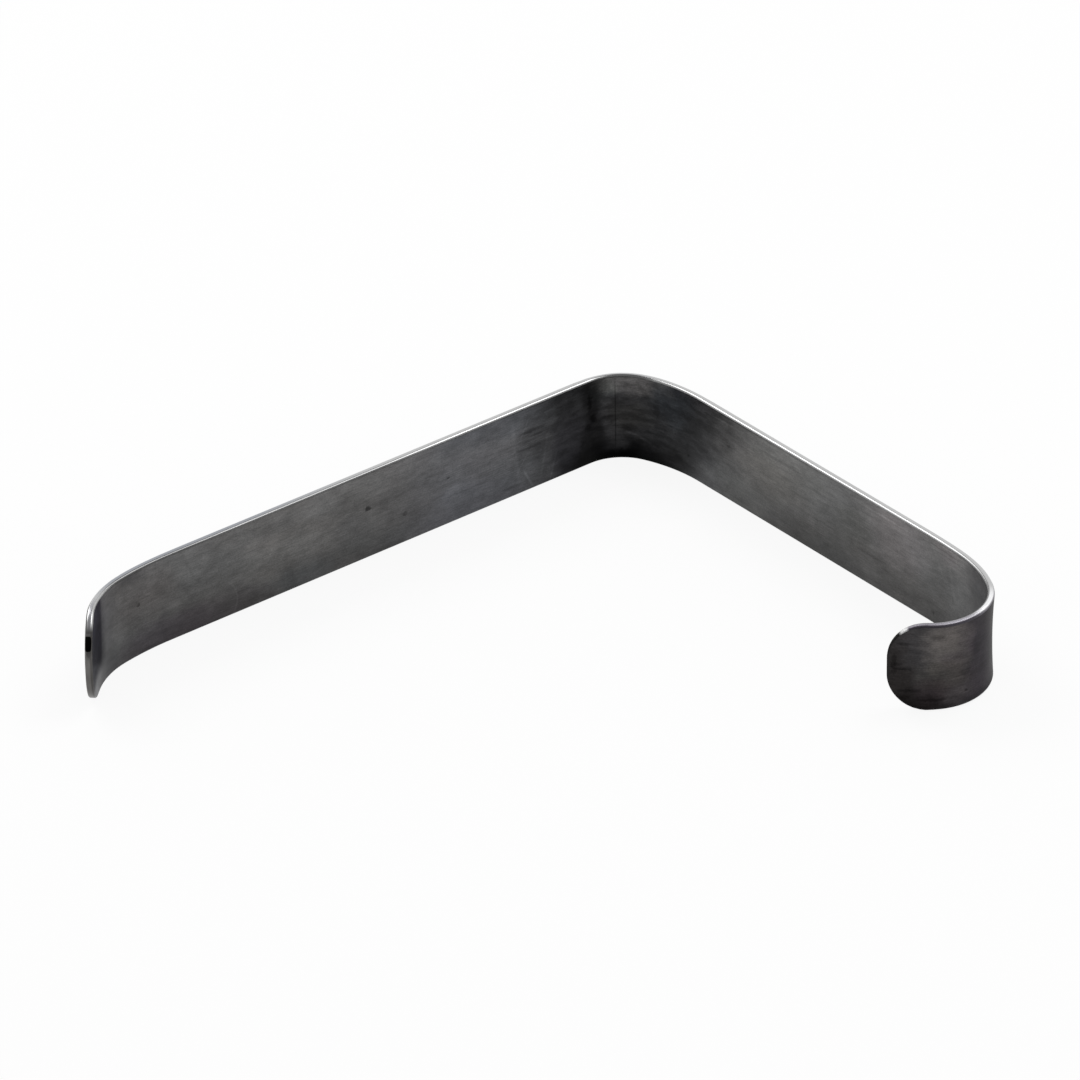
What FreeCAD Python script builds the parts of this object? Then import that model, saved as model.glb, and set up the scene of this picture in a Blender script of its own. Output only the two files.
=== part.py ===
import FreeCAD, Part
import math
import os

from FreeCAD import Vector

# A handheld retractor bent from one flat strip of stainless steel. It stands on its long edge,
# so the strip's width is along Z. The blade runs along X and the handle along -Y. Every bend
# turns the same way, and its radius is taken on the strip's inner face. All sizes are in mm.

# Strip
strip_width = 25.0
strip_thickness = 1.9
edge_round = 0.52

# Blade, from the end of its lip to the heel
lip_end_straight = 8.2
lip_radius = 23.9
lip_angle = 39.6
lip_lead_radius = 79.0
lip_lead_angle = 10.6
blade_straight = 131.0
blade_end_corner = 11.6

# Heel, tight beside the blade and easy beside the handle
heel_tight_radius = 12.9
heel_tight_angle = 62.6
heel_easy_radius = 42.3
heel_easy_angle = 24.2

# Handle and hook
handle_straight = 83.8
hook_lead_radius = 189.0
hook_lead_angle = 4.0
hook_shoulder_radius = 31.6
hook_shoulder_angle = 24.8
hook_radius = 14.2
hook_angle = 109.5
hook_end_straight = 8.6
hook_end_corner = 10.2

# An edge is sharp where its two faces meet at more than this angle
sharp_angle = 40.0


def straight(length):
    return {"length": length}


def bend(radius, angle):
    return {"radius": radius, "angle": angle}


def strip_runs():
    """The straights and bends of the strip, in order from the lip's end to the hook's end."""
    blade = [
        straight(lip_end_straight),
        bend(lip_radius, lip_angle),
        bend(lip_lead_radius, lip_lead_angle),
        straight(blade_straight),
    ]
    heel = [
        bend(heel_tight_radius, heel_tight_angle),
        bend(heel_easy_radius, heel_easy_angle),
    ]
    handle = [
        straight(handle_straight),
        bend(hook_lead_radius, hook_lead_angle),
        bend(hook_shoulder_radius, hook_shoulder_angle),
        bend(hook_radius, hook_angle),
        straight(hook_end_straight),
    ]
    return blade + heel + handle


def direction(heading):
    return Vector(math.cos(heading), math.sin(heading), 0)


def outward(heading):
    """The way from the strip's inner face to its outer face, for a strip that runs along heading."""
    return Vector(-math.sin(heading), math.cos(heading), 0)


def trace(start, heading, depth):
    """The plan line that lies depth outside the inner face, with its last point and heading."""
    point = start + outward(heading) * depth
    edges = []
    for run in strip_runs():
        if "length" in run:
            end = point + direction(heading) * run["length"]
            edges.append(Part.makeLine(point, end))
        else:
            radius = run["radius"] + depth
            turn = math.radians(run["angle"])
            centre = point - outward(heading) * radius
            middle = centre + outward(heading - turn / 2) * radius
            heading = heading - turn
            end = centre + outward(heading) * radius
            edges.append(Part.Arc(point, middle, end).toShape())
        point = end
    return edges, point, heading


def bent_strip(start, heading):
    """The strip with square ends and sharp edges."""
    inner, inner_end, end_heading = trace(start, heading, 0)
    outer, outer_end, end_heading = trace(start, heading, strip_thickness)
    near_end = Part.makeLine(start, start + outward(heading) * strip_thickness)
    far_end = Part.makeLine(inner_end, outer_end)
    plan = Part.Face(Part.Wire(inner + [far_end] + outer[::-1] + [near_end]))
    return plan.extrude(Vector(0, 0, strip_width)), inner_end, end_heading


def corner_waste(tip, heading, radius, top):
    """What is cut off one corner of an end. The strip comes to its end at tip along heading."""
    limit = min(radius, 0.48 * strip_width)
    up = Vector(0, 0, 1 if top else -1)
    along = direction(heading)
    corner = tip + Vector(0, 0, strip_width if top else 0)
    on_edge = corner - along * limit
    on_end = corner - up * limit
    centre = on_edge - up * limit
    middle = centre + (along + up).normalize() * limit
    beyond_edge = on_edge + up * limit
    beyond = corner + (along + up) * limit
    beyond_end = on_end + along * limit
    outline = [
        Part.Arc(on_edge, middle, on_end).toShape(),
        Part.makeLine(on_end, beyond_end),
        Part.makeLine(beyond_end, beyond),
        Part.makeLine(beyond, beyond_edge),
        Part.makeLine(beyond_edge, on_edge),
    ]
    face = Part.Face(Part.Wire(outline))
    face.translate(outward(heading) * (-2 * strip_thickness))
    return face.extrude(outward(heading) * (5 * strip_thickness))


def normal_at(face, point):
    u, v = face.Surface.parameter(point)
    return face.normalAt(u, v)


def sharp_edges(solid):
    """The edges of the two rims, which are what is sharp once the corners are round."""
    found = []
    for edge in solid.Edges:
        first, second = solid.ancestorsOfType(edge, Part.Face)
        point = edge.valueAt((edge.FirstParameter + edge.LastParameter) / 2)
        angle = normal_at(first, point).getAngle(normal_at(second, point))
        if math.degrees(angle) > sharp_angle:
            found.append(edge)
    return found


def retractor_strip():
    """The whole retractor, standing on the floor with its box centred on the origin."""
    lip_heading = math.radians(lip_angle + lip_lead_angle)
    start = Vector(0, 0, 0)
    strip, hook_end, hook_heading = bent_strip(start, lip_heading)
    away = lip_heading + math.pi
    waste = []
    for top in (True, False):
        waste.append(corner_waste(start, away, blade_end_corner, top))
        waste.append(corner_waste(hook_end, hook_heading, hook_end_corner, top))
    solid = strip.cut(waste).Solids[0]
    rim_round = min(edge_round, 0.45 * strip_thickness)
    solid = solid.makeFillet(rim_round, sharp_edges(solid)).Solids[0]
    box = solid.optimalBoundingBox(False)
    solid.translate(Vector(-box.Center.x, -box.Center.y, -box.ZMin))
    return solid


os.makedirs("parts", exist_ok=True)
shape = retractor_strip()
shape.exportStep("parts/retractor_strip.step")
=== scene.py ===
import math

import bpy
from mathutils import Matrix, Vector


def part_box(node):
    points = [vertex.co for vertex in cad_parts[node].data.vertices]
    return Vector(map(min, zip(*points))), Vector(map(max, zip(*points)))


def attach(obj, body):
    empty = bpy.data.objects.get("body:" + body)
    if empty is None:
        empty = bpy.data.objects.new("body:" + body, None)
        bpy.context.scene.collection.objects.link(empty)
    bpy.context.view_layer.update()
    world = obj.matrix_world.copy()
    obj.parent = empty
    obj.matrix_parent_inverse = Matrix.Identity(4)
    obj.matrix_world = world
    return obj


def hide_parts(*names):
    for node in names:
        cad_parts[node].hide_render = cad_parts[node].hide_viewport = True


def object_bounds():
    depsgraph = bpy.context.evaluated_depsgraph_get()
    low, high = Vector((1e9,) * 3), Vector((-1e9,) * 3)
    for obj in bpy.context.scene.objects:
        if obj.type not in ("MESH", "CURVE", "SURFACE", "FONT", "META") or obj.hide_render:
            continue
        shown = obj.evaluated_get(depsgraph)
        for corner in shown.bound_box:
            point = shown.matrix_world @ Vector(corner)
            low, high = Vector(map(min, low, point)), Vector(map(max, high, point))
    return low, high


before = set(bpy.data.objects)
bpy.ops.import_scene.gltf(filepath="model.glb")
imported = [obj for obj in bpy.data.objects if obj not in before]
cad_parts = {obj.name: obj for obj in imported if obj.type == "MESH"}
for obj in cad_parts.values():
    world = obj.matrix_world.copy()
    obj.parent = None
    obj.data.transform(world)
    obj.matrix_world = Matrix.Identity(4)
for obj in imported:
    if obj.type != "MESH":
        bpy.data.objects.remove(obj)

MM = 0.001
CAD_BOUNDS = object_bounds()

# The strip, with the sizes of the CAD model. Bends are given by the radius of their inner face.
STRIP_WIDTH = 25.0 * MM
STRIP_THICKNESS = 1.9 * MM
UPPER_INNER_ROUND = 0.78 * MM
LOWER_INNER_ROUND = 0.45 * MM
OUTER_ROUND = 0.52 * MM
BLADE_END_CORNER = 11.6 * MM
HOOK_END_CORNER = 10.2 * MM

# In a bend the middle of the width sinks towards the inside, the edges of the outer face draw in
# and its border is rounder. All three are given for a bend of unit curvature, in square metres,
# and fade out over the reach.
BEND_SAG = 6.8e-6
BEND_PINCH = 4.4e-6
BEND_ROLL = 4.0e-6
BEND_REACH = 5.0 * MM
REACH_SAMPLES = 9

# Mesh steps
BEND_STEP = 0.65 * MM
STRAIGHT_STEP = 2.0 * MM
CORNER_STEPS = 24
ROUND_STEPS = 8
LAND_STEPS = 2
ROWS = 16
BORDER_ROW_SHARE = 0.006

# Noise scales in the steel, per millimetre along the strip, across it and in depth
STREAK_SCALE = (0.07, 3.2, 3.0)
SMUDGE_SCALE = (0.12, 0.2, 0.4)
DRIFT_SCALE = (0.11, 0.13, 0.3)
JITTER_SCALE = (0.7, 0.9, 0.5)
WARMTH_SCALE = (0.03, 0.05, 0.3)
SMOKE_SCALE = (0.17, 0.42, 0.6)
END_SCALE = (0.6, 0.5, 2.5)
RIM_BORDER_SCALE = (0.7, 0.7, 0.7)

# How far noise moves the borders of the face shades and painted reflections, along and across, and
# those of spots and rubbed marks
SHADE_DRIFT = (9.0, -9.0)
SPOT_JITTER = (2.6, -1.4)

# Clouds over the faces: their scale, how far they lighten and darken, their detail and roughness
FACE_CLOUDS = [
    ((0.10, 0.16, 0.4), 0.27, 5.0, 0.65),
    ((0.28, 0.65, 1.0), 0.23, 5.0, 0.7),
    ((1.8, 2.8, 2.5), 0.22, 2.0, 0.7),
]

# Colours of the steel. The faces' dark grey is painted reflection of dark surroundings, and the inner
# face gets lighter from its lower edge to its upper one as painted shade.
FACE_GREY = 0.1
INNER_FACE_LEVELS = (0.62, 1.39)
OUTER_FACE_LEVEL = 0.85
WARM_TINT = (1.025, 0.995, 0.98)
LAND_GREY = 0.56
END_COLOR = (0.118, 0.114, 0.11)

# Most shades and levels below are laid on by ramps. A ramp is an axis and two places on it, and it
# rises from nothing at the first place to one at the second. X is along the strip, Y across it and
# Z its depth from the inner face, all in millimetres. Several ramps are multiplied.

# Shades of the faces, and the depths between which the inner face's finish gives way. The first is a
# cooler tint on the middle of the inner face; the others are painted shade on the hook's inner and
# outer faces.
INNER_SIDE_RAMP = ("Z", 1.3, 0.6)
FACE_SHADES = [
    ("inner", [("X", 95.0, 130.0), ("X", 222.0, 200.0)], (0.965, 0.985, 1.045)),
    ("inner", [("X", 300.0, 313.0)], (0.18, 0.17, 0.19)),
    ("outer", [("X", 300.0, 325.0)], (0.50, 0.48, 0.50)),
]

# Shades of the round ends: lighter from about the middle of the height up, and darker near the upper
# edge and at the hook's end, all painted reflection; and darker next to the inner face
END_SHADES = [
    ([("Y", 10.0, 18.0)], (1.4, 1.4, 1.4)),
    ([("Y", 21.0, 22.0)], (0.75, 0.75, 0.77)),
    ([("Z", 0.8, 0.4)], (0.6, 0.6, 0.6)),
    ([("X", 330.0, 340.0)], (0.15, 0.15, 0.15)),
]

# Painted light and shade on the rim's land and outer round, which set how bright their reflections
# are: duller on the blade, darker at the blade's end and darkest on its outer round there, a little
# duller at the heel, a painted highlight at the hook and darker towards the hook's end
LAND_SHADES = [
    ([("X", 12.0, 24.0), ("X", 110.0, 60.0)], (0.62, 0.64, 0.69)),
    ([("X", 16.0, 11.0), ("Z", 1.4, 1.2)], (0.66, 0.66, 0.69)),
    ([("X", 16.0, 11.0), ("Z", 1.4, 1.65)], (0.2, 0.2, 0.2)),
    ([("X", 166.0, 176.0), ("X", 196.0, 184.0)], (0.95, 0.95, 0.96)),
    ([("X", 316.0, 322.0), ("X", 332.0, 327.0)], (1.7, 1.7, 1.72)),
    ([("X", 326.0, 334.0)], (0.68, 0.66, 0.72)),
    ([("X", 338.0, 344.0)], (0.8, 0.78, 0.8)),
]

# The grey of the rim's inner round, and what it goes over to. This grey sets how bright the highlight
# on the inner round is, as painted highlight and shade: dim on most of the blade, bright at the lip's
# end, on the blade's last part and along the handle, dim in the heel and on the hook.
INNER_ROUND_RAMP = ("Z", 0.66, 0.5)
INNER_ROUND_GREY = 0.16
INNER_ROUND_GREYS = [
    ([("X", 45.0, 65.0)], 0.23),
    ([("X", 100.0, 130.0)], 0.46),
    ([("X", 24.0, 16.0)], 0.46),
    ([("X", 171.0, 175.0), ("X", 190.5, 186.5)], 0.21),
    ([("X", 290.0, 311.0)], 0.24),
]

# Painted shade on the rim, which dims its reflections there: its outer border at the hook, and its
# lower half
SHOULDER_RAMPS = [("Z", 1.5, 1.7), ("X", 312.0, 320.0)]
LOWER_SHOULDER_RAMPS = [("Z", 1.15, 1.6), ("X", 324.0, 331.0)]
SHOULDER_TINT = (0.24, 0.23, 0.25)
LOWER_HALF_RAMP = ("Y", 14.0, 11.0)
LOWER_HALF_TINT = (0.06, 0.06, 0.06)

# The lines ground along the rim, by their scale along the strip and round the rim. Then the share
# of the way round a round end over which the rim's polish ends, and the border of the rim.
RIM_LINES = (0.04, 7.0)
POLISH_SPAN = (0.72, 0.86)
RIM_BORDER_SPAN = (0.08, 0.4)
RIM_BORDER_UNEVEN = 0.25

# Roughness of the faces, of the polished rim and of what is not polished
FACE_ROUGHNESS = (0.37, 0.46)
FACE_ROUGHNESSES = [
    ([("X", 18.0, 12.0), ("Z", 1.3, 0.6), ("Y", 4.0, 10.0)], 0.85),
    ([("X", 305.0, 315.0), ("X", 335.0, 327.0), ("Z", 0.6, 1.3)], 0.59),
]
POLISHED_ROUGHNESS = 0.2
POLISHED_ROUGHNESSES = [
    ([("X", 322.0, 332.0)], 0.42),
    ([("X", 16.0, 11.0)], 0.28),
]
UNPOLISHED_ROUGHNESS = 0.34
UNPOLISHED_ROUGHNESSES = [
    ([("X", 330.0, 340.0)], 0.7),
]
FACE_BUMP = 0.12
BUMP_HEIGHT = 0.02 * MM

# A painted highlight on the rim of the hook's end, and a black painted reflection on the blade's end
# face with a thin light line of painted reflection above it. The highlight is given along and across
# the strip, the reflection across it and in depth, all in millimetres.
HOOK_GLINT = (349.3, 22.8)
HOOK_GLINT_SIZE = (1.8, 1.4)
HOOK_GLINT_COLOR = (0.75, 0.75, 0.75)
END_REFLECTION = (19.7, 1.1)
END_REFLECTION_SIZE = (1.6, 0.85)
END_REFLECTION_REACH = ("X", 6.0, 5.0)
END_REFLECTION_TINT = (0.03, 0.03, 0.03)
END_LINE_TINT = (1.3, 1.3, 1.35)

# Borders of the heel's painted shade and of the lip's dark wedge of painted reflection. Each leans: it
# is the share of one axis that is added to the other, and the sums where the shade starts and is full.
HEEL_BEFORE = (0.3, 147.5, 170.5)
HEEL_AFTER = (-0.8, 212.5, 190.5)
HEEL_DEPTH = (0.0, 10.0, 0.9, 0.74)
WEDGE_TOWARDS_BLADE = (-0.1, 13.8, 12.0)
WEDGE_DIAGONAL = (0.62, 13.4, 16.0)
WEDGE_TINT = (0.30, 0.29, 0.35)

# A curved scratch: the middle and radius of its arc, its half width and where it starts and is full
CURVED_SCRATCH_MIDDLE = (53.5, 4.5)
CURVED_SCRATCH_RADIUS = 7.0
CURVED_SCRATCH_HALF_WIDTH = 0.45
CURVED_SCRATCH_START = (57.5, 59.0)
CURVED_SCRATCH_TINT = (1.22, 1.22, 1.22)

# Soft patches of painted reflection and shade on the faces. Each is an oval: the face, its centre and
# its half size along and across the strip in millimetres, and what it multiplies the colour by.
PAINTED_REFLECTIONS = [
    # lip
    ("inner", (2, 8), (17, 34), (0.50, 0.51, 0.57)),
    ("inner", (17.5, 12), (6, 34), (0.66, 0.66, 0.68)),
    ("inner", (8, 25), (10, 8), (1.7, 1.7, 1.7)),
    ("inner", (11, 2), (12, 9), (0.50, 0.49, 0.52)),
    ("inner", (9, 19), (11, 16), (1.10, 1.10, 1.18)),
    # blade
    ("inner", (40, 1), (25, 9), (0.68, 0.63, 0.69)),
    ("inner", (30, 18), (15, 14), (0.84, 0.82, 0.82)),
    ("inner", (29, 26), (9, 5), (0.66, 0.66, 0.68)),
    ("inner", (76, 12), (20, 9), (1.22, 1.20, 1.18)),
    ("inner", (66, 2), (9, 5), (0.84, 0.82, 0.83)),
    ("inner", (82, 3), (10, 6), (0.87, 0.89, 0.91)),
    ("inner", (96, 10), (7, 5), (0.93, 0.93, 0.94)),
    ("inner", (131, 2), (22, 10), (1.25, 1.26, 1.31)),
    ("inner", (128, 13), (18, 7), (1.10, 1.10, 1.11)),
    ("inner", (142, 26), (26, 10), (0.82, 0.83, 0.85)),
    ("inner", (154, 3), (9, 6), (1.2, 1.2, 1.2)),
    ("inner", (152, 13), (7, 6), (0.84, 0.84, 0.84)),
    ("inner", (58, 4), (12, 6), (0.84, 0.83, 0.84)),
    ("inner", (52, 13), (14, 6), (0.9, 0.9, 0.9)),
    # heel
    ("inner", (171.3, 9), (4.5, 24), (0.42, 0.42, 0.42)),
    ("inner", (165, 2), (4, 6), (0.72, 0.72, 0.74)),
    ("inner", (165, 8), (8, 13), (0.80, 0.79, 0.85)),
    ("inner", (175, 21), (5, 5), (1.15, 1.20, 1.16)),
    ("inner", (174, 0), (10, 8), (0.32, 0.32, 0.34)),
    ("inner", (182.5, 25.5), (15.5, 7), (2.7, 2.58, 2.45)),
    ("inner", (183, 13), (8, 6), (1.03, 1.02, 0.96)),
    ("inner", (185, 0), (11, 7), (0.25, 0.25, 0.27)),
    ("inner", (180, 0), (15, 5), (0.4, 0.4, 0.4)),
    ("inner", (196, 20), (9, 8), (1.00, 1.08, 1.15)),
    ("inner", (204, 25.5), (12, 5), (1.45, 1.42, 1.45)),
    ("inner", (204, 12), (10, 9), (0.76, 0.76, 0.77)),
    # handle
    ("inner", (217, 2), (16, 9), (1.30, 1.30, 1.28)),
    ("inner", (230, 13), (12, 9), (1.10, 1.10, 1.08)),
    ("inner", (239, 21), (20, 13), (1.15, 1.15, 1.13)),
    ("inner", (250, 2), (18, 8), (0.80, 0.80, 0.79)),
    ("inner", (262, 13), (9, 8), (0.86, 0.86, 0.84)),
    ("inner", (279, 19), (14, 13), (1.24, 1.20, 1.22)),
    ("inner", (289, 4), (9, 6), (0.86, 0.86, 0.86)),
    ("inner", (297, 24), (6, 6), (1.18, 1.14, 1.16)),
    ("inner", (314, 21), (7, 6), (0.70, 0.71, 0.75)),
    ("inner", (321, 8), (13, 14), (1.17, 1.09, 1.17)),
    # outer face of the hook
    ("outer", (330, 12), (7, 34), (0.66, 0.64, 0.70)),
    ("outer", (328, 11), (6, 24), (1.26, 1.18, 1.25)),
    ("outer", (337.5, 19), (8.5, 11), (2.7, 2.6, 2.4)),
    ("outer", (338, 10), (12, 6), (1.0, 1.0, 0.93)),
    ("outer", (336, 5), (8, 6), (1.3, 1.25, 1.25)),
    ("outer", (337.5, 13), (5, 5), (0.74, 0.72, 0.77)),
    ("outer", (343, 5), (5, 6), (0.77, 0.70, 0.72)),
    ("outer", (353, 8), (9, 18), (0.55, 0.52, 0.49)),
    ("outer", (348.5, 0), (11, 8), (0.34, 0.32, 0.31)),
    ("outer", (338, -2), (34, 5), (0.55, 0.53, 0.55)),
]

# Dark spots and smears: the face, centre, half size and how much of the colour is left
SPOTS = [
    ("inner", (30.4, 14.8), (0.8, 0.8), 0.40),
    ("inner", (28.6, 15.8), (2.4, 1.6), 0.78),
    ("inner", (101.0, 14.3), (1.1, 1.0), 0.3),
    ("inner", (112.4, 8.4), (1.0, 0.8), 0.6),
    ("inner", (126.0, 13.6), (0.7, 0.5), 0.5),
    ("inner", (170.9, 18.5), (0.9, 3.4), 0.4),
    ("inner", (171.9, 13.6), (1.4, 1.9), 0.25),
    ("inner", (170.4, 11.4), (1.2, 1.1), 0.5),
    ("inner", (168.6, 6.5), (0.8, 1.8), 0.55),
    ("inner", (176.5, 13.0), (2.6, 0.8), 0.6),
    ("inner", (182.5, 9.8), (3.0, 1.3), 0.6),
    ("inner", (190.3, 15.8), (1.6, 2.4), 0.7),
    ("inner", (197.5, 4.5), (1.6, 1.0), 0.6),
    ("inner", (200.8, 6.4), (0.6, 0.5), 0.4),
    ("inner", (291.8, 3.2), (0.7, 0.6), 0.5),
    ("inner", (216.0, 16.0), (0.7, 0.7), 0.6),
    ("outer", (333.6, 4.2), (0.7, 0.5), 0.4),
    ("outer", (341.0, 21.5), (2.6, 1.2), 0.72),
    ("outer", (351.4, 13.5), (0.9, 4.0), 0.6),
    ("outer", (330.5, 15.0), (2.0, 2.4), 0.82),
]

# Rubbed marks along the faces: the face, centre, half size and what they multiply the colour by
RUBS = [
    ("inner", (152.5, 17.4), (5.0, 0.7), 0.60),
    ("inner", (154.0, 15.8), (3.0, 0.6), 0.60),
    ("inner", (152.0, 12.6), (6.0, 0.6), 0.64),
    ("inner", (151.0, 14.6), (4.0, 0.6), 0.80),
    ("inner", (141.0, 15.0), (9.0, 0.5), 0.86),
    ("inner", (130.0, 8.0), (12.0, 0.5), 0.85),
    ("inner", (146.0, 3.0), (4.0, 0.7), 0.75),
    ("inner", (250.0, 10.0), (9.0, 0.6), 0.82),
    ("inner", (268.0, 9.0), (8.0, 0.5), 0.78),
    ("inner", (243.0, 14.0), (6.0, 0.6), 0.86),
    ("inner", (235.0, 20.6), (14.0, 0.5), 0.84),
    ("inner", (272.0, 22.4), (14.0, 0.4), 1.22),
    ("inner", (266.0, 20.2), (10.0, 0.4), 0.84),
    ("inner", (295.0, 22.9), (11.0, 0.35), 0.68),
    ("inner", (297.0, 21.6), (10.0, 0.3), 0.80),
    ("inner", (299.0, 23.9), (9.0, 0.3), 1.35),
    ("inner", (213.0, 22.4), (10.0, 0.3), 1.45),
    ("outer", (349.3, 12.0), (3.2, 0.5), 0.55),
    ("outer", (350.6, 13.4), (1.6, 0.5), 0.65),
    ("outer", (349.3, 19.3), (2.4, 0.6), 0.66),
    ("outer", (347.6, 5.8), (4.2, 0.6), 0.64),
    ("outer", (342.5, 3.0), (4.2, 0.6), 0.60),
    ("outer", (337.0, 14.6), (5.0, 0.5), 0.80),
    ("outer", (335.0, 8.4), (4.0, 0.5), 1.20),
]

# Straight scratches: the face, both ends, half width and what they multiply the colour by
SCRATCHES = [
    ("inner", (178.6, 2.0), (178.6, 25.5), 0.26, 0.45),
    ("inner", (146.0, 25.0), (148.5, 1.0), 1.1, 1.18),
    ("inner", (157.8, 16.0), (155.0, 1.0), 0.6, 1.22),
    ("inner", (149.5, 7.0), (153.0, 0.0), 0.5, 1.35),
    ("inner", (160.5, 9.0), (158.0, 0.0), 0.5, 1.3),
    ("inner", (152.0, 22.0), (149.0, 16.0), 0.4, 1.25),
    ("inner", (147.5, 6.0), (151.0, 11.0), 0.4, 1.2),
    ("inner", (181.0, 8.7), (185.5, 7.2), 0.7, 1.6),
    ("inner", (185.0, 7.4), (191.0, 4.6), 0.7, 1.5),
    ("inner", (44.0, 25.0), (48.0, 15.0), 0.8, 0.86),
    ("inner", (297.0, 21.0), (300.5, 9.0), 0.9, 1.14),
    ("inner", (291.0, 23.0), (296.0, 14.0), 0.7, 1.1),
    ("outer", (328.6, 14.5), (330.2, 8.0), 0.4, 1.25),
    ("outer", (331.5, 11.0), (333.5, 6.5), 0.4, 1.18),
]

# Camera
CAMERA_AZIMUTH = math.radians(-36.911)
CAMERA_ELEVATION = math.radians(32.773)
CAMERA_ROLL = math.radians(-0.912)
CAMERA_TARGET = Vector((27.943, 35.184, 12.5)) * MM
CAMERA_DISTANCE = 2.018
CAMERA_LENS = 270.72
CAMERA_SENSOR = 36.0

# Studio. The two softboxes are given by the way from the object towards them.
FLOOR_SIDE = 12.0
FLOOR_COLOR = 0.95
FLOOR_OWN_WHITE = 0.9
SOFTBOX_WAYS = {"right": Vector((0.505, -0.1, 0.85)), "back": Vector((-0.1, 0.67, 0.73))}
SOFTBOX_DISTANCE = 1.2
SOFTBOX_SIDE = 0.6
SOFTBOX_LEVEL = 3.2
BACKDROP_WAY = Vector((0.6, 0.8, 0.0))
BACKDROP_LEVEL = 0.95
SIDE_LEVEL = 0.5
CEILING_LEVEL = 0.45
DARK_FRONT_LEVEL = 0.04
BACKDROP_SPAN = (-0.2, 0.6)
CEILING_SPAN = (0.55, 0.9)
FRONT_SPAN = (-0.75, -0.93)
LOW_SPAN = (0.4, 0.25)


def straight(length):
    return {"length": length * MM, "turn": 0.0}


def bend(radius, angle):
    turn = math.radians(angle)
    return {"length": (radius * MM + STRIP_THICKNESS / 2) * turn, "turn": turn}


# The strip from the end of its lip to the end of its hook. A straight is given by its length in
# millimetres and a bend by its radius in millimetres and its angle in degrees.
LIP = [straight(8.2), bend(23.9, 39.6), bend(79.0, 10.6)]
BLADE = [straight(131.0)]
HEEL = [bend(12.9, 62.6), bend(42.3, 24.2)]
HANDLE = [straight(83.8)]
HOOK = [bend(189.0, 4.0), bend(31.6, 24.8), bend(14.2, 109.5), straight(8.6)]
RUNS = LIP + BLADE + HEEL + HANDLE + HOOK
STRIP_LENGTH = sum(run["length"] for run in RUNS)
LIP_HEADING = sum(run["turn"] for run in LIP)


def direction(heading):
    return Vector((math.cos(heading), math.sin(heading), 0))


def outward(heading):
    """The way from the strip's inner face to its outer face."""
    return Vector((-math.sin(heading), math.cos(heading), 0))


def run_at(along):
    """The run of the strip's middle line that holds this length along it, and where it starts."""
    start = 0.0
    point = Vector((0, 0, 0))
    heading = LIP_HEADING
    for run in RUNS[:-1]:
        if along <= start + run["length"]:
            return run, start, point, heading
        point = point + chord(run["length"], run["turn"], heading)
        start += run["length"]
        heading -= run["turn"]
    return RUNS[-1], start, point, heading


def chord(length, turn, heading):
    """From start to end of an arc of this length that sets out along heading and turns clockwise."""
    half = turn / 2
    shrink = math.sin(half) / half if half else 1.0
    return direction(heading - half) * length * shrink


def curvature(along):
    run = run_at(along)[0]
    return run["turn"] / run["length"]


def bend_strength(along):
    """The curvature around this place, which rises and falls smoothly at the ends of a bend."""
    total = 0.0
    weights = 0.0
    for i in range(REACH_SAMPLES):
        offset = 2 * (i + 0.5) / REACH_SAMPLES - 1
        weight = math.cos(offset * math.pi / 2)
        place = min(max(along + offset * BEND_REACH, 0.0), STRIP_LENGTH)
        total += weight * curvature(place)
        weights += weight
    return total / weights


def middle_line(along):
    """Point, heading and bend strength of the strip's middle line."""
    run, start, point, heading = run_at(along)
    share = (along - start) / run["length"]
    point = point + chord(run["length"] * share, run["turn"] * share, heading)
    return point, heading - run["turn"] * share, bend_strength(along)


def bent_point(along, across, depth):
    """Where a point of the flat strip is once the strip is bent."""
    point, heading, strength = middle_line(along)
    half = STRIP_WIDTH / 2
    side = (across - half) / half
    sag = BEND_SAG * strength * (1 - side * side)
    pinch = BEND_PINCH * strength * depth / STRIP_THICKNESS
    height = half + side * (half - pinch)
    offset = depth - STRIP_THICKNESS / 2 - sag
    return point + outward(heading) * offset + Vector((0, 0, height))


def spread(low, high, step):
    """Evenly spaced values from low to high, both included, at most step apart."""
    count = max(1, math.ceil((high - low) / step - 1e-6))
    return [low + (high - low) * i / count for i in range(count + 1)]


def body_stations():
    """Lengths along the strip between its round ends, closer together in the bends."""
    low = BLADE_END_CORNER
    high = STRIP_LENGTH - HOOK_END_CORNER
    marks = [low]
    start = 0.0
    for run in RUNS:
        end = start + run["length"]
        if end > low and start < high:
            step = BEND_STEP if run["turn"] else STRAIGHT_STEP
            marks += spread(max(start, low), min(end, high), step)[1:]
        start = end
    return marks


def columns():
    """One column of grid points for each, as its kind and its angle or its length along."""
    quarter = [math.pi / 2 * i / CORNER_STEPS for i in range(CORNER_STEPS)]
    blade_end = [("blade end", angle) for angle in quarter]
    body = [("body", along) for along in body_stations()]
    hook_end = [("hook end", angle) for angle in reversed(quarter)]
    return blade_end + body + hook_end


def column_line(column, inset):
    """A column's length along the strip and its lowest height, on an outline inset from the edge."""
    kind, value = column
    if kind == "body":
        return value, inset
    corner = BLADE_END_CORNER if kind == "blade end" else HOOK_END_CORNER
    radius = corner - inset
    reach = corner - radius * math.cos(value)
    low = corner - radius * math.sin(value)
    return (reach if kind == "blade end" else STRIP_LENGTH - reach), low


def row_shares():
    """The rows across a face, with one close to each border."""
    inside = [i / ROWS for i in range(1, ROWS)]
    return [0.0, BORDER_ROW_SHARE] + inside + [1 - BORDER_ROW_SHARE, 1.0]


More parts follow.
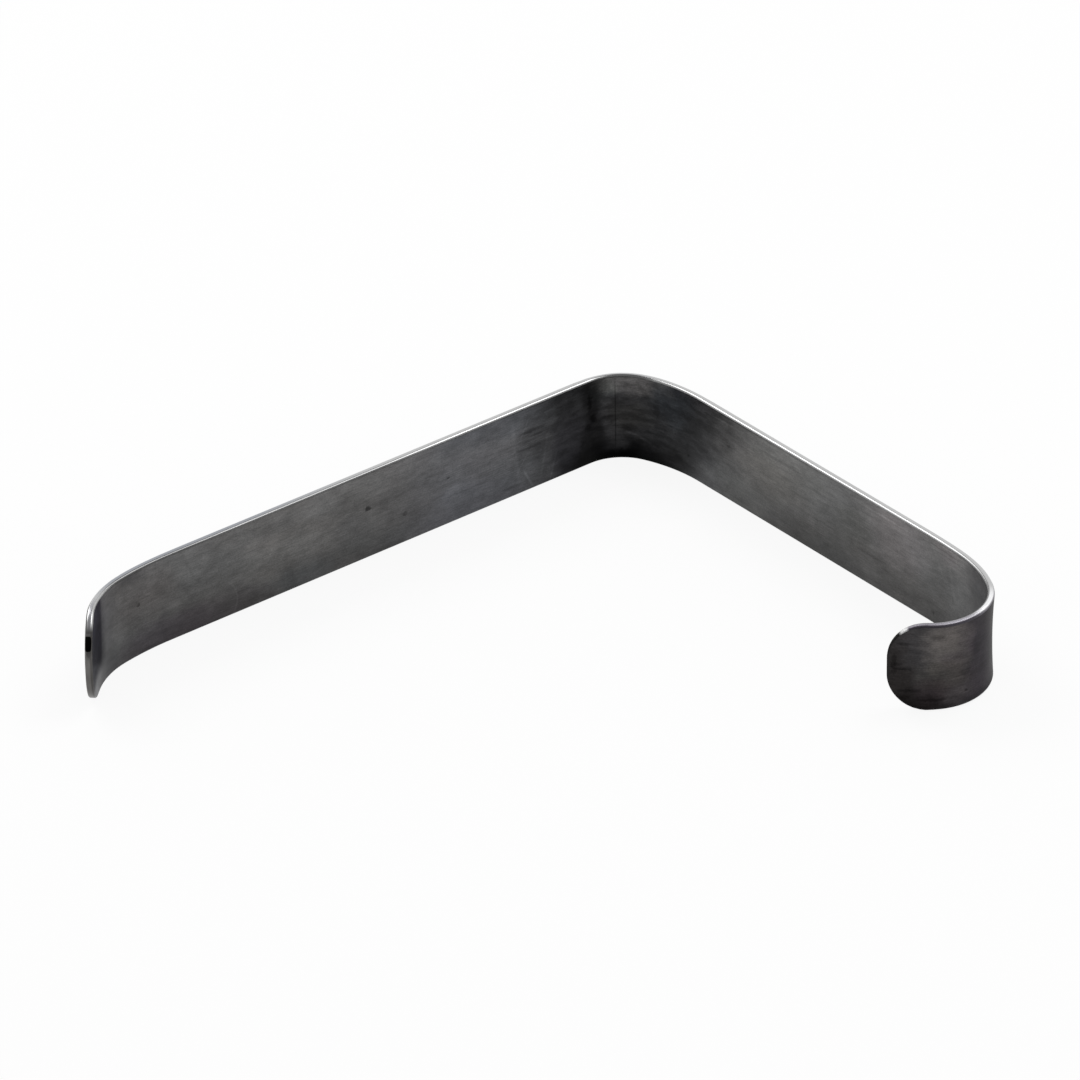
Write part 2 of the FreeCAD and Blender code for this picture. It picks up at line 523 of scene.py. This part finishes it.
def rim_layers():
    """The layers round the rim, from the inner to the outer face, as a zone and the share of it."""
    inner = [("inner round", i / ROUND_STEPS) for i in range(ROUND_STEPS + 1)]
    land = [("land", i / LAND_STEPS) for i in range(1, LAND_STEPS)]
    outer = [("outer round", i / ROUND_STEPS) for i in range(ROUND_STEPS + 1)]
    return inner + land + outer


def rim_section(layer, inner_radius, outer_radius):
    """A layer's depth, its inset from the outline, its way round the rim and its rim share."""
    zone, share = layer
    turned = inner_radius * math.pi / 2
    land = STRIP_THICKNESS - inner_radius - outer_radius
    angle = math.pi / 2 * share
    if zone == "inner round":
        depth = inner_radius * (1 - math.cos(angle))
        return depth, inner_radius * (1 - math.sin(angle)), inner_radius * angle, share
    if zone == "land":
        return inner_radius + land * share, 0.0, turned + land * share, 1.0
    depth = STRIP_THICKNESS - outer_radius * (1 - math.sin(angle))
    inset = outer_radius * (1 - math.cos(angle))
    return depth, inset, turned + land + outer_radius * angle, 1 - share


def inner_round(row_share):
    """The radius of the inner face's border, which is larger at the upper edge."""
    return LOWER_INNER_ROUND + (UPPER_INNER_ROUND - LOWER_INNER_ROUND) * row_share


def outer_round(column):
    """The radius of the outer face's border, which is larger in a bend."""
    along = column_line(column, 0.0)[0]
    return OUTER_ROUND + BEND_ROLL * bend_strength(along)


def long_edge_share(column):
    """One along the strip's long edges, falling to nothing at the middle of a round end."""
    kind, value = column
    return 1.0 if kind == "body" else math.sin(value)


class StripMesh:
    """Collects the points, faces and per-point values of the strip."""

    def __init__(self):
        self.points = []
        self.faces = []
        self.places = []
        self.rims = []
        self.columns = columns()
        self.rows = row_shares()
        self.outer_rounds = [outer_round(column) for column in self.columns]

    def add_point(self, column, row, layer):
        inner_radius = inner_round(self.rows[row])
        depth, inset, girth, rim = rim_section(layer, inner_radius, self.outer_rounds[column])
        along, low = column_line(self.columns[column], inset)
        across = low + (STRIP_WIDTH - 2 * low) * self.rows[row]
        self.points.append(bent_point(along, across, depth))
        self.places.append((along / MM, across / MM, depth / MM))
        self.rims.append((girth / MM, long_edge_share(self.columns[column]), rim))
        return len(self.points) - 1

    def add_grid(self, layer):
        grid = []
        for column in range(len(self.columns)):
            grid.append([self.add_point(column, row, layer) for row in range(len(self.rows))])
        return grid

    def ring_indices(self):
        """Column and row of each point round the border of a face."""
        last_column = len(self.columns) - 1
        last_row = len(self.rows) - 1
        up = [(0, row) for row in range(last_row)]
        forth = [(column, last_row) for column in range(last_column)]
        down = [(last_column, row) for row in range(last_row, 0, -1)]
        back = [(column, 0) for column in range(last_column, 0, -1)]
        return up + forth + down + back

    def fill_grid(self, grid, facing_inward):
        for column in range(len(grid) - 1):
            for row in range(len(self.rows) - 1):
                near = grid[column]
                far = grid[column + 1]
                corners = [near[row], far[row], far[row + 1], near[row + 1]]
                self.faces.append(corners if facing_inward else corners[::-1])

    def build(self):
        layers = rim_layers()
        inner = self.add_grid(layers[0])
        outer = self.add_grid(layers[-1])
        self.fill_grid(inner, True)
        self.fill_grid(outer, False)
        border = self.ring_indices()
        ring = [inner[column][row] for column, row in border]
        for layer in layers[1:-1]:
            following = [self.add_point(column, row, layer) for column, row in border]
            self.join_rings(ring, following)
            ring = following
        self.join_rings(ring, [outer[column][row] for column, row in border])

    def join_rings(self, ring, following):
        for i in range(len(ring)):
            j = (i + 1) % len(ring)
            self.faces.append([ring[i], ring[j], following[j], following[i]])


def centre_on_box(points, box):
    """Moves the points so that their box has the plan centre and the floor level of the CAD box."""
    low = Vector([min(point[axis] for point in points) for axis in range(3)])
    high = Vector([max(point[axis] for point in points) for axis in range(3)])
    shift = (box[0] + box[1] - low - high) / 2
    shift.z = box[0].z - low.z
    return [point + shift for point in points]


def store_vectors(mesh, name, vectors):
    attribute = mesh.attributes.new(name, "FLOAT_VECTOR", "POINT")
    attribute.data.foreach_set("vector", [value for vector in vectors for value in vector])


def retractor():
    """The whole retractor as one piece."""
    strip = StripMesh()
    strip.build()
    points = centre_on_box(strip.points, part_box("retractor_strip"))
    mesh = bpy.data.meshes.new("retractor")
    mesh.from_pydata(points, [], strip.faces)
    store_vectors(mesh, "strip_place", strip.places)
    store_vectors(mesh, "rim_place", strip.rims)
    mesh.shade_smooth()
    piece = bpy.data.objects.new("retractor", mesh)
    bpy.context.scene.collection.objects.link(piece)
    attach(piece, "root")
    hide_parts("retractor_strip")
    return piece


class Graph:
    """Adds nodes to a material and returns the sockets that hold their results."""

    def __init__(self, tree):
        self.tree = tree

    def node(self, kind, inputs=None, **settings):
        made = self.tree.nodes.new(kind)
        for name, value in settings.items():
            setattr(made, name, value)
        for name, value in (inputs or {}).items():
            self.feed(made.inputs[name], value)
        return made

    def feed(self, socket, value):
        if isinstance(value, bpy.types.NodeSocket):
            self.tree.links.new(value, socket)
        else:
            socket.default_value = value

    def math(self, operation, first, second=0.0, third=0.0):
        inputs = {0: first, 1: second, 2: third}
        return self.node("ShaderNodeMath", inputs, operation=operation).outputs[0]

    def scaled(self, vector, scale):
        inputs = {0: vector, 1: scale}
        return self.node("ShaderNodeVectorMath", inputs, operation="MULTIPLY").outputs[0]

    def noise(self, vector, detail=2.0, roughness=0.5):
        inputs = {"Vector": vector, "Scale": 1.0, "Detail": detail, "Roughness": roughness}
        return self.node("ShaderNodeTexNoise", inputs).outputs["Fac"]

    def remap(self, value, low, high, to_low=0.0, to_high=1.0, smooth=True):
        inputs = {0: value, 1: low, 2: high, 3: to_low, 4: to_high}
        kind = "SMOOTHSTEP" if smooth else "LINEAR"
        return self.node("ShaderNodeMapRange", inputs, interpolation_type=kind).outputs[0]

    def layered(self, share, under, over):
        """One colour over another, as far as the share says."""
        return self.node("ShaderNodeMix", {0: share, 4: under, 5: over}, data_type="VECTOR").outputs[1]

    def blend(self, share, first, second):
        made = self.node("ShaderNodeMix", data_type="FLOAT")
        self.feed(made.inputs[0], share)
        self.feed(made.inputs[2], first)
        self.feed(made.inputs[3], second)
        return made.outputs[0]

    def tinted(self, color, share, tint):
        """The colour, multiplied by the tint as far as the share says."""
        return self.scaled(color, self.layered(share, (1.0, 1.0, 1.0), tint))

    def dimmed(self, color, factor):
        inputs = {0: color, "Scale": factor}
        return self.node("ShaderNodeVectorMath", inputs, operation="SCALE").outputs[0]

    def varied(self, color, vector, amount, detail=4.0, roughness=0.55):
        """The colour, lightened and darkened by noise, by up to about the given amount."""
        noise = self.noise(vector, detail, roughness)
        return self.dimmed(color, self.remap(noise, 0.25, 0.75, 1 - amount, 1 + amount, smooth=False))

    def product(self, *values):
        result = values[0]
        for value in values[1:]:
            result = self.math("MULTIPLY", result, value)
        return result

    def ramped(self, axes, ramps):
        """The product of ramps along the axes."""
        return self.product(*[self.remap(axes[axis], start, full) for axis, start, full in ramps])

    def levelled(self, axes, level, changes):
        """A value that is level, and goes over to others where their ramps say."""
        for ramps, other in changes:
            level = self.blend(self.ramped(axes, ramps), level, other)
        return level

    def shaded(self, axes, color, shades):
        """The colour, multiplied by tints where their ramps say."""
        for ramps, tint in shades:
            color = self.tinted(color, self.ramped(axes, ramps), tint)
        return color

    def leaning(self, first, second, border):
        """The ramp over a leaning border."""
        share, start, full = border
        return self.remap(self.math("MULTIPLY_ADD", first, share, second), start, full)

    def line(self, along, across, start, end, half_width):
        """One on a straight line between two places on the strip and nothing beside it."""
        run = (end[0] - start[0], end[1] - start[1])
        length = math.hypot(*run)
        way = (run[0] / length, run[1] / length)
        x = self.math("SUBTRACT", along, start[0])
        y = self.math("SUBTRACT", across, start[1])
        beside = self.math("SUBTRACT", self.product(x, way[1]), self.product(y, way[0]))
        beside = self.math("ABSOLUTE", beside)
        onward = self.math("MULTIPLY_ADD", x, way[0], self.math("MULTIPLY", y, way[1]))
        middle = self.math("ABSOLUTE", self.math("SUBTRACT", onward, length / 2))
        ends = self.remap(middle, length / 2, length / 2 * 0.6)
        return self.math("MULTIPLY", self.remap(beside, half_width, 0.0), ends)

    def blob(self, along, across, centre, size):
        """One in the middle of an oval on the strip and nothing outside it."""
        x = self.math("DIVIDE", self.math("SUBTRACT", along, centre[0]), size[0])
        y = self.math("DIVIDE", self.math("SUBTRACT", across, centre[1]), size[1])
        squares = self.math("MULTIPLY_ADD", x, x, self.math("MULTIPLY", y, y))
        return self.remap(squares, 1.0, 0.0)


def grey(level):
    return (level, level, level, 1.0)


def steel():
    """Dark satin faces, whose darkness is painted reflection, and bright ground edges. Its nodes
    measure the flat strip in millimetres.
    """
    material = bpy.data.materials.new("strip_steel")
    material.use_nodes = True
    graph = Graph(material.node_tree)
    shader = material.node_tree.nodes["Principled BSDF"]
    place = graph.node("ShaderNodeAttribute", attribute_name="strip_place").outputs["Vector"]
    rim_place = graph.node("ShaderNodeAttribute", attribute_name="rim_place").outputs["Vector"]

    axes = graph.node("ShaderNodeSeparateXYZ", {0: place}).outputs
    streaks = graph.noise(graph.scaled(place, STREAK_SCALE), 3.0, 0.6)
    smudges = graph.noise(graph.scaled(place, SMUDGE_SCALE), 4.0, 0.6)
    faces = face_color(graph, place, streaks)
    polish = polish_share(graph, rim_place)
    rim_share = rim_border(graph, place, rim_place)

    rims = graph.layered(polish, end_color(graph, place), rim_color(graph, place, rim_place))
    # A painted highlight on the rim of the hook's end.
    glint = graph.blob(axes["X"], axes["Y"], HOOK_GLINT, HOOK_GLINT_SIZE)
    rims = graph.layered(glint, rims, HOOK_GLINT_COLOR)
    color = graph.layered(rim_share, faces, rims)

    face_roughness = graph.remap(smudges, 0.3, 0.7, *FACE_ROUGHNESS, smooth=False)
    face_roughness = graph.levelled(axes, face_roughness, FACE_ROUGHNESSES)
    polished = graph.levelled(axes, POLISHED_ROUGHNESS, POLISHED_ROUGHNESSES)
    unpolished = graph.levelled(axes, UNPOLISHED_ROUGHNESS, UNPOLISHED_ROUGHNESSES)
    rim_roughness = graph.blend(polish, unpolished, polished)
    rim_roughness = graph.blend(graph.ramped(axes, [LOWER_HALF_RAMP]), rim_roughness, unpolished)
    roughness = graph.blend(rim_share, face_roughness, rim_roughness)

    shader.inputs["Metallic"].default_value = 1.0
    graph.feed(shader.inputs["Base Color"], color)
    graph.feed(shader.inputs["Roughness"], roughness)
    strength = graph.blend(rim_share, FACE_BUMP, 0.0)
    relief = {"Strength": strength, "Distance": BUMP_HEIGHT, "Height": streaks}
    graph.feed(shader.inputs["Normal"], graph.node("ShaderNodeBump", relief).outputs[0])
    return material


def face_color(graph, place, streaks):
    """Smoky patina, with painted reflection and shade that differ along the strip, and spots, rubbed
    marks and scratches.
    """
    axes = graph.node("ShaderNodeSeparateXYZ", {0: place}).outputs
    along, across = axes["X"], axes["Y"]
    inner = graph.ramped(axes, [INNER_SIDE_RAMP])
    sides = {"inner": inner, "outer": graph.math("SUBTRACT", 1.0, inner)}

    wobble = graph.math("SUBTRACT", graph.noise(graph.scaled(place, DRIFT_SCALE), 4.0, 0.6), 0.5)
    drifted = graph.math("MULTIPLY_ADD", wobble, SHADE_DRIFT[0], along)
    shifted = graph.math("MULTIPLY_ADD", wobble, SHADE_DRIFT[1], across)
    jitter = graph.math("SUBTRACT", graph.noise(graph.scaled(place, JITTER_SCALE), 3.0, 0.6), 0.5)
    ragged_along = graph.math("MULTIPLY_ADD", jitter, SPOT_JITTER[0], along)
    ragged_across = graph.math("MULTIPLY_ADD", jitter, SPOT_JITTER[1], across)

    # The faces' dark grey is painted reflection, and the inner face's lightening upwards is painted
    # shade.
    lit = graph.remap(across, 0.0, STRIP_WIDTH / MM, *INNER_FACE_LEVELS, smooth=False)
    color = graph.dimmed((FACE_GREY, FACE_GREY, FACE_GREY), graph.blend(inner, OUTER_FACE_LEVEL, lit))
    warmth = graph.remap(graph.noise(graph.scaled(place, WARMTH_SCALE), 2.0, 0.5), 0.35, 0.65)
    color = graph.tinted(color, warmth, WARM_TINT)

    # Painted shade on the hook's faces, and a cooler tint on the inner face.
    for side, ramps, tint in FACE_SHADES:
        share = graph.product(graph.ramped({"X": drifted}, ramps), sides[side])
        color = graph.tinted(color, share, tint)
    # Soft patches of painted reflection and shade.
    for side, centre, size, tint in PAINTED_REFLECTIONS:
        share = graph.product(graph.blob(drifted, shifted, centre, size), sides[side])
        color = graph.tinted(color, share, tint)
    # Painted shade in the heel.
    heel = heel_shade(graph, drifted, shifted, inner)
    color = graph.tinted(color, heel, (0.0, 0.0, 0.0))
    # Painted dark reflection across the lip.
    color = graph.tinted(color, lip_wedge(graph, along, across, inner), WEDGE_TINT)

    for side, centre, size, gain in SPOTS + RUBS:
        share = graph.product(graph.blob(ragged_along, ragged_across, centre, size), sides[side])
        color = graph.tinted(color, share, (gain, gain, gain))
    for side, start, end, half_width, gain in SCRATCHES:
        share = graph.product(graph.line(along, across, start, end, half_width), sides[side])
        color = graph.tinted(color, share, (gain, gain, gain))
    color = graph.tinted(color, curved_scratch(graph, along, across, inner), CURVED_SCRATCH_TINT)

    for scale, amount, detail, roughness in FACE_CLOUDS:
        color = graph.varied(color, graph.scaled(place, scale), amount, detail, roughness)
    smoke = graph.noise(graph.scaled(place, SMOKE_SCALE), 4.0, 0.6)
    color = graph.dimmed(color, graph.blend(heel, 1.0, graph.remap(smoke, 0.4, 0.6, 0.68, 1.32)))
    return graph.dimmed(color, graph.remap(streaks, 0.3, 0.7, 0.88, 1.12, smooth=False))


def heel_shade(graph, along, across, inner):
    """How much of the colour is lost to painted shade in the heel, which is darkest low down."""
    before = graph.leaning(across, along, HEEL_BEFORE)
    after = graph.leaning(across, along, HEEL_AFTER)
    return graph.product(graph.math("MINIMUM", before, after), graph.remap(across, *HEEL_DEPTH), inner)


def lip_wedge(graph, along, across, inner):
    """The dark bluish wedge across the lip, a painted reflection."""
    towards_blade = graph.leaning(across, along, WEDGE_TOWARDS_BLADE)
    above_diagonal = graph.leaning(along, across, WEDGE_DIAGONAL)
    return graph.product(towards_blade, above_diagonal, inner)


def curved_scratch(graph, along, across, inner):
    """One on a thin arc on the blade and nothing beside it."""
    x = graph.math("SUBTRACT", along, CURVED_SCRATCH_MIDDLE[0])
    y = graph.math("SUBTRACT", across, CURVED_SCRATCH_MIDDLE[1])
    distance = graph.math("SQRT", graph.math("MULTIPLY_ADD", x, x, graph.product(y, y)))
    away = graph.math("ABSOLUTE", graph.math("SUBTRACT", distance, CURVED_SCRATCH_RADIUS))
    on_arc = graph.remap(away, CURVED_SCRATCH_HALF_WIDTH, 0.0)
    return graph.product(on_arc, graph.remap(along, *CURVED_SCRATCH_START), inner)


def end_color(graph, place):
    """The colour of the round ends where they face along the strip, with painted reflections on them.
    """
    axes = graph.node("ShaderNodeSeparateXYZ", {0: place}).outputs
    color = graph.varied(END_COLOR, graph.scaled(place, END_SCALE), 0.12)
    return end_reflection(graph, graph.shaded(axes, color, END_SHADES), axes)


def rim_color(graph, place, rim_place):
    """Ground metal with lengthwise lines. Both arms, the bends and the ends have their own painted
    light and shade.
    """
    axes = graph.node("ShaderNodeSeparateXYZ", {0: place}).outputs
    girth = graph.node("ShaderNodeSeparateXYZ", {0: rim_place}).outputs["X"]
    # The land's painted light and shade along the strip.
    land = graph.shaded(axes, (LAND_GREY, LAND_GREY, LAND_GREY), LAND_SHADES)
    # Painted highlight and shade on the inner round.
    border = graph.levelled(axes, INNER_ROUND_GREY, INNER_ROUND_GREYS)
    border = graph.dimmed((1.0, 1.0, 1.0), border)
    color = graph.layered(graph.ramped(axes, [INNER_ROUND_RAMP]), land, border)
    # Painted shade on the hook's outer border and on the rim's lower half.
    shoulder = graph.ramped(axes, SHOULDER_RAMPS)
    shoulder = graph.math("MAXIMUM", shoulder, graph.ramped(axes, LOWER_SHOULDER_RAMPS))
    color = graph.tinted(color, shoulder, SHOULDER_TINT)
    color = graph.tinted(color, graph.ramped(axes, [LOWER_HALF_RAMP]), LOWER_HALF_TINT)
    lines = {0: graph.product(axes["X"], RIM_LINES[0]), 1: graph.product(girth, RIM_LINES[1])}
    lines = graph.node("ShaderNodeCombineXYZ", lines).outputs[0]
    return graph.varied(color, lines, 0.14, 3.0, 0.6)


def polish_share(graph, rim_place):
    """One where the rim is polished, falling to nothing where a round end faces along the strip."""
    long_edge = graph.node("ShaderNodeSeparateXYZ", {0: rim_place}).outputs["Y"]
    return graph.remap(long_edge, *POLISH_SPAN)


def rim_border(graph, place, rim_place):
    """One on the rim and nothing on the faces, with a slightly uneven border."""
    rim = graph.node("ShaderNodeSeparateXYZ", {0: rim_place}).outputs["Z"]
    uneven = graph.noise(graph.scaled(place, RIM_BORDER_SCALE), 3.0, 0.6)
    rim = graph.math("MULTIPLY_ADD", graph.math("SUBTRACT", uneven, 0.5), RIM_BORDER_UNEVEN, rim)
    return graph.remap(rim, *RIM_BORDER_SPAN)


def end_reflection(graph, color, axes):
    """A black painted reflection with round corners on the blade's end face, and a thin light line of
    painted reflection above it.
    """
    near_end = graph.ramped(axes, [END_REFLECTION_REACH])
    y = graph.math("DIVIDE", graph.math("SUBTRACT", axes["Y"], END_REFLECTION[0]), END_REFLECTION_SIZE[0])
    z = graph.math("DIVIDE", graph.math("SUBTRACT", axes["Z"], END_REFLECTION[1]), END_REFLECTION_SIZE[1])
    powers = [graph.math("POWER", graph.math("ABSOLUTE", value), 4.0) for value in (y, z)]
    mark = graph.product(near_end, graph.remap(graph.math("ADD", *powers), 1.1, 0.7))
    line = graph.product(near_end, graph.remap(y, 1.02, 1.12), graph.remap(y, 1.35, 1.22))
    return graph.tinted(graph.tinted(color, mark, END_REFLECTION_TINT), line, END_LINE_TINT)


def own_white_share(graph, most):
    """A share of most where the camera or a mirror or glass looks at the surface, otherwise none."""
    path = graph.node("ShaderNodeLightPath").outputs
    seen = graph.math("MAXIMUM", path["Is Camera Ray"], path["Is Glossy Ray"])
    seen = graph.math("MAXIMUM", seen, path["Is Transmission Ray"])
    return graph.math("MULTIPLY", seen, most)


def floor_material():
    material = bpy.data.materials.new("studio_floor")
    material.use_nodes = True
    nodes = material.node_tree.nodes
    graph = Graph(material.node_tree)
    nodes.remove(nodes["Principled BSDF"])
    lit = graph.node("ShaderNodeBsdfDiffuse", {"Color": grey(FLOOR_COLOR)})
    white = graph.node("ShaderNodeEmission", {"Color": grey(1.0), "Strength": 1.0})
    share = own_white_share(graph, FLOOR_OWN_WHITE)
    both = graph.node("ShaderNodeMixShader", {0: share, 1: lit.outputs[0], 2: white.outputs[0]})
    graph.feed(nodes["Material Output"].inputs["Surface"], both.outputs[0])
    return material


def studio():
    half = FLOOR_SIDE / 2
    mesh = bpy.data.meshes.new("floor")
    corners = [(-half, -half, 0), (half, -half, 0), (half, half, 0), (-half, half, 0)]
    mesh.from_pydata(corners, [], [(0, 1, 2, 3)])
    floor = bpy.data.objects.new("floor", mesh)
    floor.location.z = CAD_BOUNDS[0].z
    mesh.materials.append(floor_material())
    bpy.context.scene.collection.objects.link(floor)

    studio_world()
    for name, way in SOFTBOX_WAYS.items():
        softbox(name, way.normalized())


def softbox(name, way):
    lamp = bpy.data.lights.new("softbox_" + name, "AREA")
    lamp.shape = "SQUARE"
    lamp.size = SOFTBOX_SIDE
    lamp.energy = SOFTBOX_LEVEL * math.pi * SOFTBOX_SIDE ** 2
    made = bpy.data.objects.new("softbox_" + name, lamp)
    made.location = way * SOFTBOX_DISTANCE
    made.rotation_mode = "QUATERNION"
    made.rotation_quaternion = (-way).to_track_quat("-Z", "Y")
    bpy.context.scene.collection.objects.link(made)


def studio_world():
    """Light grey towards the backdrop, greyer at the sides and above, dark low in front."""
    world = bpy.data.worlds.new("studio")
    bpy.context.scene.world = world
    world.use_nodes = True
    graph = Graph(world.node_tree)
    way = graph.node("ShaderNodeTexCoord").outputs["Generated"]
    dot = graph.node("ShaderNodeVectorMath", {0: way, 1: tuple(BACKDROP_WAY)}, operation="DOT_PRODUCT")
    towards_back = dot.outputs["Value"]
    height = graph.node("ShaderNodeSeparateXYZ", {0: way}).outputs["Z"]
    level = graph.remap(towards_back, *BACKDROP_SPAN, SIDE_LEVEL, BACKDROP_LEVEL)
    level = graph.blend(graph.remap(height, *CEILING_SPAN), level, CEILING_LEVEL)
    front = graph.remap(towards_back, *FRONT_SPAN)
    low = graph.remap(height, *LOW_SPAN)
    level = graph.blend(graph.product(front, low), level, DARK_FRONT_LEVEL)
    background = world.node_tree.nodes["Background"]
    background.inputs["Color"].default_value = grey(1.0)
    graph.feed(background.inputs["Strength"], level)


def camera():
    level = math.cos(CAMERA_ELEVATION)
    back = Vector((math.sin(CAMERA_AZIMUTH) * level, -math.cos(CAMERA_AZIMUTH) * level,
                   math.sin(CAMERA_ELEVATION)))
    right = Vector((math.cos(CAMERA_AZIMUTH), math.sin(CAMERA_AZIMUTH), 0))
    up = back.cross(right)
    rolled_right = right * math.cos(CAMERA_ROLL) + up * math.sin(CAMERA_ROLL)
    rolled_up = up * math.cos(CAMERA_ROLL) - right * math.sin(CAMERA_ROLL)
    data = bpy.data.cameras.new("camera")
    data.lens = CAMERA_LENS
    data.sensor_width = CAMERA_SENSOR
    made = bpy.data.objects.new("camera", data)
    made.rotation_mode = "QUATERNION"
    made.rotation_quaternion = Matrix((rolled_right, rolled_up, back)).transposed().to_quaternion()
    made.location = CAMERA_TARGET + back * CAMERA_DISTANCE
    bpy.context.scene.collection.objects.link(made)
    bpy.context.scene.camera = made


piece = retractor()
piece.data.materials.append(steel())
studio()
camera()
bpy.context.scene.view_settings.view_transform = "Standard"
